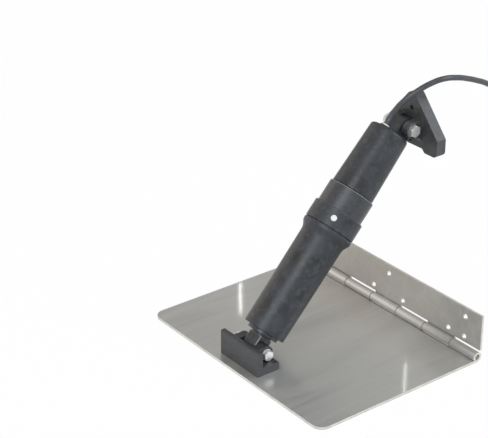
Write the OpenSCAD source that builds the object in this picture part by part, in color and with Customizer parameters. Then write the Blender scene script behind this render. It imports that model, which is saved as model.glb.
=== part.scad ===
// Boat trim tab: a stainless plate hinged to a transom flange, driven by a sealed electric screw ram.
// X runs along the hinge, +Y points forward to the boat's transom and +Z is up. The origin is on the
// flange's forward face, midway between its two rows of holes. The plate lies flat in the pose drawn.

/* [Tab plate] */
// Width of the plate along the hinge
span = 304.8; // [285:0.2:380]
// Distance from the trailing edge to the hinge pin's axis
chord = 228.6; // [215:0.2:300]
// Thickness of the stainless sheet of plate and flange
sheet_t = 2.7; // [2.2:0.1:3.4]
// Radius of the two trailing corners
corner_r = 12.7; // [4:0.1:25]

/* [Hinge] */
// Diameter of the hinge pin
pin_d = 6.35; // [5:0.05:8]
// Number of knuckles, shared in turn by plate and flange
knuckle_n = 7; // [5:2:7]
// Width of each inner knuckle, with its gaps
knuckle_w = 45; // [32:0.5:50]
// Gap between neighbouring knuckles
knuckle_gap = 1; // [0.4:0.05:1.2]
// Radial running clearance round the hinge pin
pin_clear = 0.05; // [0.02:0.01:0.1]
// Room between a leaf's notch and the knuckle that turns in it
notch_gap = 1.2; // [0.8:0.1:2.5]
// Slit left where a rolled knuckle meets its own sheet
roll_slit = 0.5; // [0.3:0.05:0.8]
// Depth at which the pin stops short of the end knuckles
pin_recess = 3; // [1:0.5:8]

/* [Transom flange] */
// Height of the flange above the plate's top
flange_h = 53.7; // [51:0.1:75]
// Diameter of the flange's screw holes
flange_hole_d = 6.4; // [4.5:0.1:7]
// Height of the lower row of holes above the plate's top
hole_row_h = 17.2; // [15:0.1:20]
// Distance between the two rows of holes
hole_row_gap = 25.4; // [22:0.1:28]
// Distance between the outermost holes of both rows
hole_span = 254; // [230:0.2:272]
// Distance between the middle holes of the lower row
hole_span_mid = 203.2; // [120:0.2:215]
// Distance between the inner holes of the lower row
hole_span_inner = 50.8; // [30:0.2:90]

/* [Brackets] */
// Width of the lower bracket
low_bracket_w = 67; // [62:0.5:90]
// Length of the lower bracket's base, front to back
low_bracket_l = 30; // [29:0.5:36]
// Height of the lower bracket's base
low_base_h = 10; // [8:0.5:12]
// Height of the lower bracket's aft wall
low_wall_h = 30; // [24:0.5:31]
// Thickness of the aft wall
low_wall_t = 7.5; // [5:0.5:8.5]
// Distance from the trailing edge to the lower bracket
low_inset = 10.5; // [8:0.5:20]
// Distance from the lower bracket's aft face to its pivot
low_pivot_l = 21.1; // [20.6:0.1:22]
// Height of the lower pivot above the plate's top
low_pivot_h = 16.8; // [16:0.1:20]
// Radius of the lower bracket's ears
low_ear_r = 9.5; // [8.5:0.1:10]
// Thickness of each ear of the lower bracket
ear_t = 10.4; // [7:0.1:11]
// Thickness of each ear of the upper bracket
up_ear_t = 9.6; // [7:0.1:11]
// Distance from the upper pivot to the upper bracket's base
up_pivot_l = 12.8; // [12.6:0.1:18]
// Thickness of the upper bracket's base
up_base_t = 13; // [9:0.5:16]
// Half the upper bracket's width
up_half_w = 44; // [40:0.5:52]
// Half its width at the narrow top
up_top_half_w = 9; // [7:0.5:12]
// Height of the upper bracket's top above the pivot
up_top_h = 38; // [37:0.5:48]
// Depth of the upper bracket's shoulders below the pivot
up_shoulder_h = 9.5; // [2:0.1:10]
// Depth of the upper bracket's foot below the pivot
up_foot_h = 29; // [23:0.1:32]
// Height of the arch between the upper bracket's two feet
up_arch_h = 4.2; // [2:0.1:5]
// Half the width of that arch
up_arch_half_w = 22; // [18:0.5:26]
// Radius of the upper bracket's ears
up_ear_r = 9.8; // [9.4:0.1:12]
// Distance between the upper bracket's two screw holes, one above the other
up_hole_gap = 38; // [32:0.5:40]
// Diameter of those holes
up_hole_d = 5.6; // [4:0.1:6.4]
// Depth of the recess round each end of the upper bolt
up_recess = 3; // [1:0.1:4]
// Radius of the moulded corners of both brackets
mould_r = 3; // [1:0.1:4]

/* [Actuator] */
// Slope of the actuator at rest
act_angle = 47.5; // [40:0.5:60]
// Distance from the lower pivot to the lower tube's end
eye_to_tube = 20; // [20:0.1:30]
// Length of the lower tube up to its flare
lower_tube_l = 122.5; // [118:0.5:150]
// Length of the flare
flare_l = 7.5; // [6:0.1:12]
// Length of the bell above the flare
bell_l = 4.5; // [3.5:0.1:8]
// Length of the lock ring with the seam below it
ring_l = 22.5; // [18:0.1:30]
// Length of the collar above the lock ring
collar_l = 27; // [26.5:0.1:36]
// Length of the motor housing above the collar
upper_tube_l = 79.5; // [68:0.5:100]
// Lower tube's diameter at its lower end
tube_d = 50; // [49:0.1:51]
// Lower tube's diameter below the flare
tube_top_d = 52; // [51:0.1:54]
// Diameter of the bell and the lock ring
ring_d = 60.4; // [59:0.1:66]
// Diameter of the collar
collar_d = 55.4; // [55:0.1:58]
// Motor housing's diameter at the collar
upper_d = 51.4; // [50:0.1:54]
// Motor housing's diameter at its cap
cap_d = 47.2; // [46:0.1:50]
// Radius of the cap's rounded edge
cap_round = 3.8; // [1:0.1:5]
// Wall of the lower tube
tube_wall = 4; // [3.2:0.1:4.6]
// Wall of the bell round the carrier
bell_wall = 2.7; // [2:0.1:3]
// Wall of the lock ring round its seat on the collar
ring_wall = 3.5; // [3:0.1:4]
// Wall of the collar round the motor housing's spigot
collar_wall = 3.2; // [2.5:0.1:3.6]
// Visible seam below the lock ring
seam = 0.8; // [0.3:0.1:1.5]
// Visible seam between the collar and the motor housing
upper_seam = 0.3; // [0.2:0.1:1.5]
// Thickness of the motor housing's cap
cap_t = 4; // [3:0.1:6]
// Distance of the upper pivot above the cap
up_pivot_rise = 14.2; // [13.8:0.1:24]
// Distance of the upper pivot forward of the actuator's axis
up_pivot_off = 12; // [6:0.1:12.5]
// Radius of the upper eye
up_eye_r = 10.8; // [10:0.1:12]
// Width of the ram's eye, between the lower bracket's ears
eye_w = 20; // [18:0.5:21]
// Width of the upper eye, between the upper bracket's ears
up_eye_w = 16; // [14:0.5:20]
// Distance by which each eye's bush stands proud of it
bush_proud = 0.8; // [0.4:0.1:1.5]
// Diameter of the lock plug
plug_d = 7; // [4:0.1:10]

/* [Ram and drive] */
// Travel of the ram
stroke = 57; // [40:0.5:60]
// Diameter of the ram tube
ram_d = 28; // [26.6:0.1:28]
// Wall of the ram tube
ram_wall = 4; // [3:0.1:5]
// Radius of the ram's eye
ram_eye_r = 10; // [9:0.1:10]
// Diameter of the lead screw
screw_d = 10; // [9:0.1:12]
// Length of the drive nut inside the ram
nut_l = 20; // [14:0.5:24]
// Length of the guide ring at the ram's top
guide_l = 12; // [8:0.5:14]
// Length of the rod gland inside the lower tube
gland_l = 18; // [13:0.5:20]
// Distance by which the gland stands out of the tube
gland_lip = 4; // [3:0.1:4]
// Diameter of the motor and its gearbox
motor_d = 40; // [36:0.1:40.4]
// Length of the motor can
motor_l = 56; // [45:0.5:60]
// Length of the gearbox
gearbox_l = 30; // [22:0.5:32]

/* [Bolts] */
// Diameter of the lower pivot bolt
low_bolt_d = 6.35; // [5:0.05:7]
// Hexagon of the lower bolt, across flats
low_hex = 11.1; // [9:0.1:12]
// Diameter of the upper pivot bolt
up_bolt_d = 7.94; // [6:0.02:9]
// Hexagon of the upper bolt, across flats
up_hex = 12.7; // [11:0.1:14]
// Thickness of the washers
washer_t = 1.2; // [0.8:0.1:1.6]
// Diameter of the screws that hold the lower bracket to the plate
plate_screw_d = 5; // [3.5:0.1:5.6]

/* [Cable] */
// Diameter of the cable
cable_d = 6.5; // [5.5:0.1:7]
// Distance of the cable's exit aft of the actuator's axis
cable_off = 12; // [11.6:0.1:13]
// Mean diameter of the stored coil
coil_d = 78; // [72:0.5:90]

/* [Clearances] */
// Gap round pieces that seat in each other and stay still
fit_gap = 0.1; // [0.05:0.01:0.15]
// Running clearance of shafts, bushes and the sliding ram
slide_clear = 0.08; // [0.03:0.01:0.1]
// Side clearance between an eye's bush and the ears
ear_clear = 0.4; // [0.3:0.05:0.8]
// Room between an eye and the bracket that it turns in
turn_clear = 1; // [0.6:0.1:1.2]

/* [Hidden] */
$fn = 72;

// Colours of the real pieces
steel = "#a8a59e";
bright = "#d0cdc6";
black = "#34363a";
satin_black = "#2b2d31";
rubber = "#1b1c1e";
bronze = "#a87c45";
white = "#f2f2ee";
motor_grey = "#8c8f94";

// Heights and places of the plate, the flange and the hinge
pin_r = pin_d / 2;
bore_pin_r = pin_r + pin_clear;
barrel_r = bore_pin_r + sheet_t;
plate_top = -hole_row_h - hole_row_gap / 2;
floor_z = plate_top - sheet_t;
pin_y = -barrel_r;
pin_z = floor_z + barrel_r;
trailing_y = pin_y - chord;
flange_top = plate_top + flange_h;
// A leaf's sheet stops this short of the pin's axis, inside the wall of its knuckle
tangent_gap = 0.5;
// Depth of the crease that a roll's end leaves in its own sheet, and where the slit behind it stops
crease = 0.05;
roll_end = 0.8;
// Length by which a cutting shape runs past what it cuts, and by which joined solids run into each other
over = 1;
sink = 0.5;

// Lower bracket
small_r = mould_r / 2;
low_aft = trailing_y + low_inset;
low_pivot_y = low_aft + low_pivot_l;
low_pivot_z = plate_top + low_pivot_h;
ear_gap = eye_w + 2 * (bush_proud + ear_clear);
ear_out = ear_gap / 2 + ear_t;
plate_screw_x = low_bracket_w / 2 - plate_screw_d - 1;
plate_screw_y = [low_aft + low_wall_t / 2 + 1, low_aft + low_bracket_l - plate_screw_d - 1];
plate_screw_grip = low_base_h - 2.5;
plate_head_r = 0.95 * plate_screw_d;

// Stations along the actuator, measured from the lower pivot
z_tube = eye_to_tube;
z_lip = z_tube - gland_lip;
z_flare = z_tube + lower_tube_l;
z_bell = z_flare + flare_l;
z_seat = z_bell + bell_l;
z_ring = z_seat + seam;
z_shoulder = z_seat + ring_l;
z_collar = z_shoulder + collar_l;
z_body = z_collar + upper_seam;
z_cap = z_body + upper_tube_l;
z_socket = z_flare + flare_l / 2;
z_up = z_cap + up_pivot_rise;

// Housing radii
tube_bore = tube_d / 2 - tube_wall;
socket_r = (tube_top_d + ring_d) / 4 - bell_wall;
ring_seat = ring_d / 2 - ring_wall;
spigot_r = collar_d / 2 - collar_wall - fit_gap;
motor_bore = motor_d / 2 + fit_gap;
edge = 0.8;

// Screw bearing in its carrier, from the lower tube's socket
carrier_t = (z_seat - z_socket) / 2;
hub_l = 9;
washer_thrust_t = 1;
thrust_t = 2;
z_hub = z_socket - hub_l;
z_carrier = z_socket + carrier_t;
journal_r = screw_d / 2 - 1;
bush_wall = 2.2;
hub_hole = journal_r + slide_clear + bush_wall + fit_gap;
thrust_r = hub_hole + 2;
z_thrust = z_hub - washer_thrust_t - slide_clear;

// Motor, gearbox and the coupling that turns the screw
z_gear = z_seat + ring_l / 2 + 0.75;
spigot_l = collar_l - 1.5;
z_ledge = z_collar - spigot_l;
drive_bore = 12;
shaft_r = 3;
boss_l = 3;
coupling_r = 8.5;
z_join = z_carrier + 8;
z_coupling_top = z_gear - boss_l - 1;
z_motor = z_gear + gearbox_l;
z_bell_end = z_motor + motor_l;
end_bell_l = 5;
gear_screw_r = 1.5;
gear_screw_head = 2.75;
gear_screw_circle = motor_d / 2 - 4.5;
gear_screw_grip = 6;
head_room = 5;
shaft_in = 5;

// Ram inside the lower tube
ram_r = ram_d / 2;
ram_bore = ram_r - ram_wall;
ram_stop = 1.5;
neck_l = 2.5;
neck_z = z_lip - ram_stop;
neck_r = ram_r - 2;
z_ram = neck_z + neck_l;
plug_in = 12;
cross_pin_r = 2;
nut_flange_t = 3;
end_gap = 4;
z_ram_top = z_thrust - thrust_t - end_gap - nut_flange_t;
z_nut = z_ram_top - nut_l;
overrun = 8;
z_screw = z_nut - stroke - overrun;
snap_t = 1.6;
snap_depth = 1;
z_guide = z_ram_top - guide_l;
z_snap = z_guide - snap_t;

// Rod gland and its seals
gland_bore = ram_r + slide_clear;
wiper_r = gland_bore + 3;
wiper_l = gland_lip - 0.6;
lip_wall = 1.4;
lip_r = wiper_r + lip_wall;
seal_r = 1.5;
seal_room = 0.1;
groove_z = z_tube + gland_l / 2;

// Upper eye, bracket and bolt
low_bush_r = low_bolt_d / 2 + slide_clear + 2;
up_bush_r = up_bolt_d / 2 + slide_clear + 2;
up_pivot_y = low_pivot_y + up_pivot_off * sin(act_angle) + z_up * cos(act_angle);
up_pivot_z = low_pivot_z - up_pivot_off * cos(act_angle) + z_up * sin(act_angle);
up_base_y = up_pivot_y + up_pivot_l;
up_ear_gap = up_eye_w + 2 * (bush_proud + ear_clear);
up_ear_out = up_ear_gap / 2 + up_ear_t;
fillet_r = 9;
recess_room = 1.1;
recess_r = up_hex / sqrt(3) + recess_room;
bolt_end = 3;

// Cable exit on the cap
gland_stem_r = cable_d / 2 + 1.8;
gland_flange_r = gland_stem_r + 1.2;
gland_flange_h = 1.5;
ferrule_h = 1.6;
gland_bore_r = cable_d / 2 + fit_gap;
z_exit = z_cap + gland_flange_h + ferrule_h;
exit_y = low_pivot_y - cable_off * sin(act_angle) + z_exit * cos(act_angle);
exit_z = low_pivot_z + cable_off * cos(act_angle) + z_exit * sin(act_angle);
axis_y = cos(act_angle);
axis_z = sin(act_angle);

// Stored coil, its ties and the plug on its end
turns_wide = 2;
turns_high = 3;
tie_t = 1.1;
tie_w = 4.5;
coil_w = turns_wide * cable_d;
coil_h = turns_high * cable_d;
coil_r = coil_d / 2;
coil_z = floor_z + tie_t;
coil_at = [60, 204];
tie_angles = [20, 200];
plug_size = [16, 32, 11];
plug_angle = 100;
pin_gap = 6;
plug_pin_r = 1.2;
plug_pin_l = 7;

// Route of the cable from its exit, over the upper bracket, down to the floor and into the coil
straight_out = 6;
route = [[0, exit_y, exit_z],
         [0, exit_y + straight_out * axis_y, exit_z + straight_out * axis_z],
         [3, -6.7, 222.9], [7.5, -1.5, 231.5], [15, 9, 242.4], [23, 27, 252.5],
         [27, 41, 255.3], [28.5, 60, 252.6], [27.5, 79, 246.5], [26, 95, 240], [24, 112, 232],
         [22, 128, 221.5], [21, 141, 207], [21, 150, 187], [21.5, 155.5, 160], [22, 158.5, 128],
         [22.5, 160.5, 92], [24, 161.5, 56], [26, 161.5, 25], [30, 161.5, -1], [35.5, 161.5, -15],
         [45, 161.5, -24.5], [60, 161.5, -28.2]];
route_steps = 2;
cable_sides = 12;
// A direction that the route never follows, from which the rings of the tube are turned
route_ref = [-1, 1, 0] / sqrt(2);

// Points of an arc round c from angle a0 to a1
function arc(c, r, a0, a1, n = 10) =
    [for (i = [0 : n]) c + r * [cos(a0 + (a1 - a0) * i / n), sin(a0 + (a1 - a0) * i / n)]];
function unit(v) = v / norm(v);

// Smooth curve through four route points, at t from 0 to 1 between the middle two
function spline(a, b, c, d, t) =
    0.5 * (2 * b + (c - a) * t + (2 * a - 5 * b + 4 * c - d) * t * t + (3 * b - 3 * c + d - a) * t * t * t);
function route_at(i) = route[max(0, min(len(route) - 1, i))];
function route_curve() =
    [for (i = [0 : len(route) - 2], k = [0 : route_steps - 1])
        spline(route_at(i - 1), route_at(i), route_at(i + 1), route_at(i + 2), k / route_steps),
     route[len(route) - 1]];

// Left and right ends of knuckle i
function knuckle_edge(i) =
    i == 0 ? -span / 2 : i == knuckle_n ? span / 2 : (i - knuckle_n / 2) * knuckle_w;
function knuckle_x0(i) = knuckle_edge(i) + (i == 0 ? 0 : knuckle_gap / 2);
function knuckle_x1(i) = knuckle_edge(i + 1) - (i == knuckle_n - 1 ? 0 : knuckle_gap / 2);

// Outline of the plate, trailing corners rounded
function plate_outline(end_y) =
    concat(arc([-span / 2 + corner_r, trailing_y + corner_r], corner_r, 180, 270),
           arc([span / 2 - corner_r, trailing_y + corner_r], corner_r, 270, 360),
           [[span / 2, end_y], [-span / 2, end_y]]);

// Side profile of the lower bracket's base and aft wall, y then z
function low_profile() =
    concat([[low_aft, plate_top]], [[low_aft + low_bracket_l, plate_top]],
           arc([low_aft + low_bracket_l - small_r, plate_top + low_base_h - small_r], small_r, 0, 90),
           [[low_aft + low_wall_t, plate_top + low_base_h]],
           arc([low_aft + low_wall_t - mould_r, plate_top + low_wall_h - mould_r], mould_r, 0, 90),
           arc([low_aft + small_r, plate_top + low_wall_h - small_r], small_r, 90, 180));

// Corner of the arch under the upper bracket, on side s, at its foot (t = 1) or its top (t = -1)
function arch_corner(s, t) =
    [s * (up_arch_half_w + t * up_arch_h / 2), -up_foot_h + (t < 0 ? up_arch_h : 0)];

// Outline of the upper bracket's base, x then z from the pivot: narrow round top and two wide feet
function up_outline() =
    let (slope = atan2(up_top_h - up_top_half_w + up_shoulder_h, up_half_w - up_top_half_w),
         turn = 90 - slope,
         foot_r = 2 * mould_r)
    concat(arc([0, up_top_h - up_top_half_w], up_top_half_w, turn, 180 - turn, 16),
           arc([-up_half_w + mould_r, -up_shoulder_h], mould_r, 180 - turn, 180, 6),
           arc([-up_half_w + foot_r, -up_foot_h + foot_r], foot_r, 180, 270),
           [for (s = [-1, 1], t = [-1, 1]) arch_corner(s, s * t)],
           arc([up_half_w - foot_r, -up_foot_h + foot_r], foot_r, 270, 360),
           arc([up_half_w - mould_r, -up_shoulder_h], mould_r, 0, turn, 6));

// Helper shapes
module x_rod(r, x0, x1, sides = $fn)
    translate([x0, 0, 0]) rotate([0, 90, 0]) cylinder(r = r, h = x1 - x0, $fn = sides);
module x_hex(flats, x0, x1) x_rod(flats / sqrt(3), x0, x1, 6);
module along_x(w) rotate([90, 0, 90]) linear_extrude(height = w, center = true) children();
module turned(profile) rotate_extrude($fn = 96) polygon(profile);
module tube(r_in, r_out, z0, z1) turned([[r_in, z0], [r_out, z0], [r_out, z1], [r_in, z1]]);
module x_tube(r_in, r_out, x0, x1) rotate([0, 90, 0]) tube(r_in, r_out, x0, x1);
module at_pin() translate([0, pin_y, pin_z]) children();
module at_low_pivot() translate([0, low_pivot_y, low_pivot_z]) children();
module at_up_pivot() translate([0, up_pivot_y, up_pivot_z]) children();
// The actuator's own frame: lower pivot at the origin and its axis along +Z
module on_actuator() at_low_pivot() rotate([act_angle - 90, 0, 0]) children();

module knuckle(i) at_pin() x_rod(barrel_r, knuckle_x0(i), knuckle_x1(i));
module knuckle_room(i, y0, y1, z0, z1)
    translate([knuckle_edge(i) - knuckle_gap / 2, y0, z0])
        cube([knuckle_edge(i + 1) - knuckle_edge(i) + knuckle_gap, y1 - y0, z1 - z0]);
module pin_bore() at_pin() x_rod(bore_pin_r, -span / 2 - over, span / 2 + over);

// Transom leaf
module flange_holes() {
    upper = plate_top + hole_row_h + hole_row_gap;
    lower = plate_top + hole_row_h;
    spots = concat([for (x = [-hole_span / 2, 0, hole_span / 2]) [x, upper]],
                   [for (w = [hole_span, hole_span_mid, hole_span_inner], s = [-0.5, 0.5]) [s * w, lower]]);
    for (p = spots)
        translate([p[0], over, p[1]]) rotate([90, 0, 0]) cylinder(d = flange_hole_d, h = sheet_t + 2 * over);
}

module transom_flange() color(steel) difference() {
    union() {
        translate([-span / 2, -sheet_t, pin_z + tangent_gap])
            cube([span, sheet_t, flange_top - pin_z - tangent_gap]);
        for (i = [1 : 2 : knuckle_n - 2]) knuckle(i);
    }
    pin_bore();
    for (i = [0 : 2 : knuckle_n - 1])
        knuckle_room(i, -sheet_t - over, over, pin_z - over, pin_z + barrel_r + notch_gap);
    for (i = [1 : 2 : knuckle_n - 2])
        knuckle_room(i, -sheet_t - roll_slit, -sheet_t + crease, pin_z + roll_end, pin_z + barrel_r + over);
    flange_holes();
}

module hinge_pin() color(bright)
    at_pin() x_rod(pin_r, -span / 2 + pin_recess, span / 2 - pin_recess);

// Tab
module plate_screw_spots()
    for (x = [-plate_screw_x, plate_screw_x], y = plate_screw_y) translate([x, y, 0]) children();

// Countersunk screw, head down, with room all round
module countersunk(room, length) {
    cylinder(r = plate_screw_d / 2 + room, h = length);
    cylinder(r1 = plate_head_r + room, r2 = plate_screw_d / 2 + room, h = sheet_t - sink);
}

module tab_plate() color(steel) difference() {
    union() {
        translate([0, 0, floor_z]) linear_extrude(height = sheet_t)
            polygon(plate_outline(pin_y - tangent_gap));
        for (i = [0 : 2 : knuckle_n - 1]) knuckle(i);
    }
    pin_bore();
    for (i = [1 : 2 : knuckle_n - 2])
        knuckle_room(i, pin_y - barrel_r - notch_gap, pin_y + over, floor_z - over, plate_top + over);
    for (i = [0 : 2 : knuckle_n - 1])
        knuckle_room(i, pin_y - barrel_r - over, pin_y - roll_end, plate_top - crease, plate_top + roll_slit);
    plate_screw_spots() translate([0, 0, floor_z - 0.01]) countersunk(fit_gap, sheet_t + over);
}

module lower_bracket() color(satin_black) difference() {
    union() {
        along_x(low_bracket_w) polygon(low_profile());
        for (s = [-1, 1]) translate([s * (ear_gap + ear_t) / 2, 0, 0]) {
            at_low_pivot() x_rod(low_ear_r, -ear_t / 2, ear_t / 2);
            translate([-ear_t / 2, low_aft + low_wall_t / 2, plate_top + low_base_h / 2])
                cube([ear_t, low_pivot_l - low_wall_t / 2, low_pivot_h + low_ear_r - low_base_h / 2]);
            translate([-ear_t / 2, low_pivot_y - low_ear_r, plate_top + low_base_h / 2])
                cube([ear_t, 2 * low_ear_r, low_pivot_h - low_base_h / 2]);
        }
    }
    at_low_pivot() x_rod(low_bolt_d / 2 + fit_gap, -ear_out - over, ear_out + over);
    at_low_pivot() x_rod(ram_eye_r + turn_clear, -ear_gap / 2, ear_gap / 2);
    translate([-ear_gap / 2, low_pivot_y, low_pivot_z - ram_eye_r - turn_clear])
        cube([ear_gap, low_bracket_l, low_bracket_l]);
    plate_screw_spots() translate([0, 0, plate_top - over])
        cylinder(r = plate_screw_d / 2 + fit_gap, h = plate_screw_grip + over);
}

module bracket_screws() color(bright)
    plate_screw_spots() translate([0, 0, floor_z]) countersunk(0, sheet_t + plate_screw_grip - sink);

// Seat of the lower bolt's head or nut, outside its washer
low_seat = ear_out + washer_t;
low_washer_r = low_hex / sqrt(3) + 2 * fit_gap;
low_nut_h = 5.6;
low_head_h = 4.4;
module lower_pivot_bolt() color(bright) at_low_pivot() {
    x_rod(low_bolt_d / 2, -low_seat - low_nut_h - bolt_end, low_seat);
    x_hex(low_hex, low_seat, low_seat + low_head_h);
}

module washer_pair(d, r_out, x)
    for (s = [0, 1]) mirror([s, 0, 0]) x_tube(d / 2 + fit_gap, r_out, x, x + washer_t);

module lower_pivot_washers() color(bright) at_low_pivot() washer_pair(low_bolt_d, low_washer_r, ear_out);

module lower_pivot_nut() color(bright) at_low_pivot() difference() {
    x_hex(low_hex, -low_seat - low_nut_h, -low_seat);
    x_rod(low_bolt_d / 2 + fit_gap / 2, -low_seat - low_nut_h - over, -low_seat + over);
}

// Ram
module at_cross_pin() translate([0, 0, z_ram + plug_in / 2]) children();

module ram_end() color(black) on_actuator() difference() {
    union() {
        x_rod(ram_eye_r, -eye_w / 2, eye_w / 2);
        translate([-eye_w / 2, -ram_eye_r, 0]) cube([eye_w, 2 * ram_eye_r, neck_z + sink]);
        translate([0, 0, neck_z]) cylinder(r = neck_r, h = z_ram - neck_z);
        translate([0, 0, z_ram - sink]) cylinder(r = ram_bore - fit_gap, h = plug_in + sink);
    }
    x_rod(low_bush_r + fit_gap, -eye_w, eye_w);
    at_cross_pin() x_rod(cross_pin_r + fit_gap, -ram_d, ram_d);
}

module ram_eye_bush() color(bronze) on_actuator()
    x_tube(low_bolt_d / 2 + slide_clear, low_bush_r, -eye_w / 2 - bush_proud, eye_w / 2 + bush_proud);

module ram_tube() color(bright) on_actuator() difference() {
    tube(ram_bore, ram_r, z_ram, z_ram_top);
    tube(ram_r - snap_depth, ram_r + over, z_snap, z_guide);
    at_cross_pin() x_rod(cross_pin_r + fit_gap, -ram_d, ram_d);
}

module ram_end_pin() color(bright) on_actuator()
    at_cross_pin() x_rod(cross_pin_r, -ram_r + sink, ram_r - sink);

module drive_nut() color(bronze) on_actuator() difference() {
    union() {
        translate([0, 0, z_nut]) cylinder(r = ram_bore - fit_gap, h = nut_l);
        translate([0, 0, z_ram_top]) cylinder(r = ram_r + 3, h = nut_flange_t);
    }
    translate([0, 0, z_nut - over])
        cylinder(r = screw_d / 2 + slide_clear, h = nut_l + nut_flange_t + 2 * over);
}

module ram_guide_ring() color(white) on_actuator()
    tube(ram_r + fit_gap / 2, tube_bore - slide_clear, z_guide, z_ram_top);

module ram_snap_ring() color(bright) on_actuator()
    tube(ram_r - snap_depth + fit_gap / 2, ram_r + 2, z_snap + fit_gap / 2, z_guide);

// Lower housing and its gland
module lower_tube() color(black) on_actuator()
    turned([[tube_bore, z_tube], [tube_d / 2 - edge, z_tube], [tube_d / 2, z_tube + edge],
            [tube_top_d / 2, z_flare], [ring_d / 2, z_bell], [ring_d / 2, z_seat - edge / 2],
            [ring_d / 2 - edge / 2, z_seat], [socket_r, z_seat], [socket_r, z_socket],
            [tube_bore, z_socket]]);

module rod_gland() color(satin_black) on_actuator() difference() {
    turned([[gland_bore, z_lip], [lip_r - edge, z_lip], [lip_r, z_lip + edge], [lip_r, z_tube],
            [tube_bore - fit_gap, z_tube], [tube_bore - fit_gap, z_tube + gland_l],
            [gland_bore, z_tube + gland_l]]);
    tube(gland_bore - over, wiper_r, z_lip - over, z_lip + wiper_l);
    tube(gland_bore - over, gland_bore + 2 * seal_r + seal_room, groove_z - seal_r - seal_room,
         groove_z + seal_r + seal_room);
}

module rod_wiper() color(rubber) on_actuator()
    turned([[gland_bore, z_lip + sink], [wiper_r - fit_gap, z_lip + over],
            [wiper_r - fit_gap, z_lip + wiper_l], [gland_bore, z_lip + wiper_l]]);

module o_ring(r_in, z) rotate_extrude($fn = 96) translate([r_in + seal_r, z]) circle(r = seal_r, $fn = 24);
module rod_o_ring() color(rubber) on_actuator() o_ring(gland_bore, groove_z);

// Screw bearing
module bearing_carrier() color(motor_grey) on_actuator()
    turned([[hub_hole, z_hub], [tube_bore - fit_gap, z_hub], [tube_bore - fit_gap, z_socket],
            [socket_r - fit_gap, z_socket], [socket_r - fit_gap, z_carrier], [hub_hole, z_carrier]]);

module screw_bush() color(bronze) on_actuator()
    tube(journal_r + slide_clear, hub_hole - fit_gap, z_hub, z_carrier);

module thrust_washer() color(bronze) on_actuator()
    tube(journal_r + slide_clear, thrust_r, z_hub - washer_thrust_t, z_hub);

// Collar, lock ring and motor housing
module gear_screw_spots()
    for (a = [0 : 120 : 240]) rotate([0, 0, a]) translate([gear_screw_circle, 0, 0]) children();

module coupling_collar() color(satin_black) on_actuator() difference() {
    turned([[drive_bore, z_carrier], [socket_r - fit_gap, z_carrier], [socket_r - fit_gap, z_seat],
            [ring_seat, z_seat], [ring_seat, z_shoulder], [collar_d / 2, z_shoulder],
            [collar_d / 2, z_collar - edge], [collar_d / 2 - edge, z_collar], [spigot_r + fit_gap, z_collar],
            [spigot_r + fit_gap, z_ledge], [motor_bore, z_ledge], [motor_bore, z_gear],
            [drive_bore, z_gear]]);
    gear_screw_spots() {
        translate([0, 0, z_carrier]) cylinder(r = gear_screw_r + fit_gap, h = z_gear - z_carrier + over);
        translate([0, 0, z_carrier - over]) cylinder(r = gear_screw_head + fit_gap, h = head_room + over);
    }
}

module lock_ring() color(satin_black) on_actuator() difference() {
    turned([[ring_seat + fit_gap, z_ring], [ring_d / 2 - edge, z_ring], [ring_d / 2, z_ring + edge],
            [ring_d / 2, z_shoulder - edge], [ring_d / 2 - edge, z_shoulder],
            [ring_seat + fit_gap, z_shoulder]]);
    lock_plug_place() cylinder(d = plug_d + 2 * fit_gap, h = ring_d);
}

// Floor of the lock plug's hole, on the side that faces the trailing edge
plug_depth = 1.8;
plug_turn = -50;
module lock_plug_place()
    rotate([0, 0, plug_turn]) translate([ring_d / 2 - plug_depth, 0, (z_ring + z_shoulder) / 2])
        rotate([0, 90, 0]) children();

module lock_plug() color(white) on_actuator() lock_plug_place() cylinder(d = plug_d, h = plug_depth + 0.3);

module motor_housing() color(black) on_actuator() difference() {
    union() {
        turned(concat([[motor_bore, z_ledge], [spigot_r, z_ledge], [spigot_r, z_body],
                       [upper_d / 2 - edge, z_body], [upper_d / 2, z_body + edge]],
                      arc([cap_d / 2 - cap_round, z_cap - cap_round], cap_round, 0, 90),
                      [[0, z_cap], [0, z_cap - cap_t], [motor_bore, z_cap - cap_t]]));
        translate([0, up_pivot_off, z_up]) x_rod(up_eye_r, -up_eye_w / 2, up_eye_w / 2);
        translate([-up_eye_w / 2, up_pivot_off - up_eye_r, z_cap - cap_t / 2])
            cube([up_eye_w, 2 * up_eye_r, up_pivot_rise + cap_t / 2]);
    }
    translate([0, up_pivot_off, z_up]) x_rod(up_bush_r + fit_gap, -up_eye_w, up_eye_w);
    translate([0, -cable_off, z_cap - cap_t - over])
        cylinder(r = gland_stem_r + fit_gap, h = cap_t + 2 * over);
    tube(spigot_r - 2 * thin_seal_r, spigot_r + over, groove_up - thin_seal_r, groove_up + thin_seal_r);
}

// Ring seal on the motor housing's spigot, thinner than the rod's
thin_seal_r = 0.9;
groove_up = z_ledge + spigot_l / 2;
module spigot_o_ring() color(rubber) on_actuator()
    rotate_extrude($fn = 96) translate([spigot_r - thin_seal_r + fit_gap / 2, groove_up])
        circle(r = thin_seal_r - fit_gap / 2, $fn = 24);

module upper_eye_bush() color(bronze) on_actuator() translate([0, up_pivot_off, z_up])
    x_tube(up_bolt_d / 2 + slide_clear, up_bush_r, -up_eye_w / 2 - bush_proud, up_eye_w / 2 + bush_proud);

// Drive inside the housing
module gearbox_case() color(motor_grey) on_actuator() difference() {
    union() {
        translate([0, 0, z_gear]) cylinder(d = motor_d, h = gearbox_l);
        translate([0, 0, z_gear - boss_l]) cylinder(r = shaft_r + 3, h = boss_l + over);
    }
    translate([0, 0, z_gear - boss_l - over])
        cylinder(r = shaft_r + slide_clear, h = boss_l + shaft_in + 2 * over);
    gear_screw_spots() translate([0, 0, z_gear - over])
        cylinder(r = gear_screw_r + fit_gap, h = gear_screw_grip + 2 * over);
}

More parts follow.
